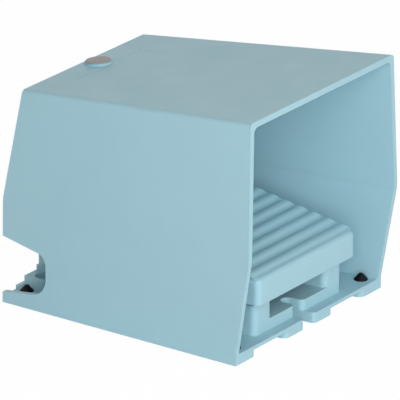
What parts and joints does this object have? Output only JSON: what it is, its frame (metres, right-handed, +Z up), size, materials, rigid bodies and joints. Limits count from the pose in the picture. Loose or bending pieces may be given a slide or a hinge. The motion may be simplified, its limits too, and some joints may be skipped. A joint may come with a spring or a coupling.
{
  "type": "foot switch",
  "caption": "Industrial foot switch: a ribbed sprung pedal on a cast switch base inside a tapered guard hood that is open in front, with rear cable entries and rubber feet",
  "frame": {"origin": "centre of the bounding box in plan, on the ground under the rubber feet", "axes": "X is the width, Y points from the front opening to the rear, Z is up"},
  "size_m": [0.16, 0.1819, 0.149],
  "materials": {
    "blue_paint": "light blue paint on cast aluminium",
    "grey_cap": "matt pinkish grey",
    "black_rubber": "black rubber",
    "grey_casting": "bare die casting",
    "zinc_steel": "zinc plated steel",
    "bronze": "sintered bronze",
    "contact_brass": "brass contact strip",
    "black_plastic": "black moulded plastic",
    "grey_plastic": "grey moulded plastic"
  },
  "bodies": {
    "housing": {"guard_hood": "blue_paint", "rubber_feet": "black_rubber", "roof_cap": "grey_cap", "base_housing": "blue_paint", "lid_gasket": "black_rubber", "room_lid": "grey_casting", "lid_screws": "zinc_steel", "base_screws": "zinc_steel", "blanking_plug": "black_plastic", "plug_seal": "black_rubber", "hinge_pins": "zinc_steel", "retaining_rings": "zinc_steel", "spring_seat": "black_plastic", "return_spring": "zinc_steel", "rubber_stops": "black_rubber", "plunger_boot": "black_rubber", "contact_case": "grey_plastic", "fixed_contacts": "contact_brass", "terminal_screws": "zinc_steel", "case_screws": "zinc_steel", "contact_spring": "zinc_steel", "earth_saddle": "contact_brass", "earth_screw": "zinc_steel"},
    "pedal": {"pedal": "blue_paint", "hinge_bushes": "bronze", "striker_screw": "zinc_steel", "striker_nut": "zinc_steel"},
    "plunger": {"plunger": "zinc_steel", "contact_carrier": "black_plastic", "bridge_contacts": "contact_brass"}
  },
  "joints": [
    {"name": "pedal_hinge", "type": "hinge", "parent": "housing", "child": "pedal", "pos_m": [0, 0.049, 0.042], "axis": [1, 0, 0], "range_deg": [0, 6], "stiffness_Nm_per_rad": 6, "springref_deg": -34.38, "deforming": ["return_spring"]},
    {"name": "plunger_slide", "type": "slide", "parent": "housing", "child": "plunger", "axis": [0, 0, -1], "range_m": [0, 0.00475], "stiffness_N_per_m": 300, "springref_m": -0.01, "deforming": ["contact_spring", "plunger_boot"]}
  ],
  "couplings": [
    {"joint": "plunger_slide", "follows": "pedal_hinge", "m_per_rad": 0.045}
  ]
}
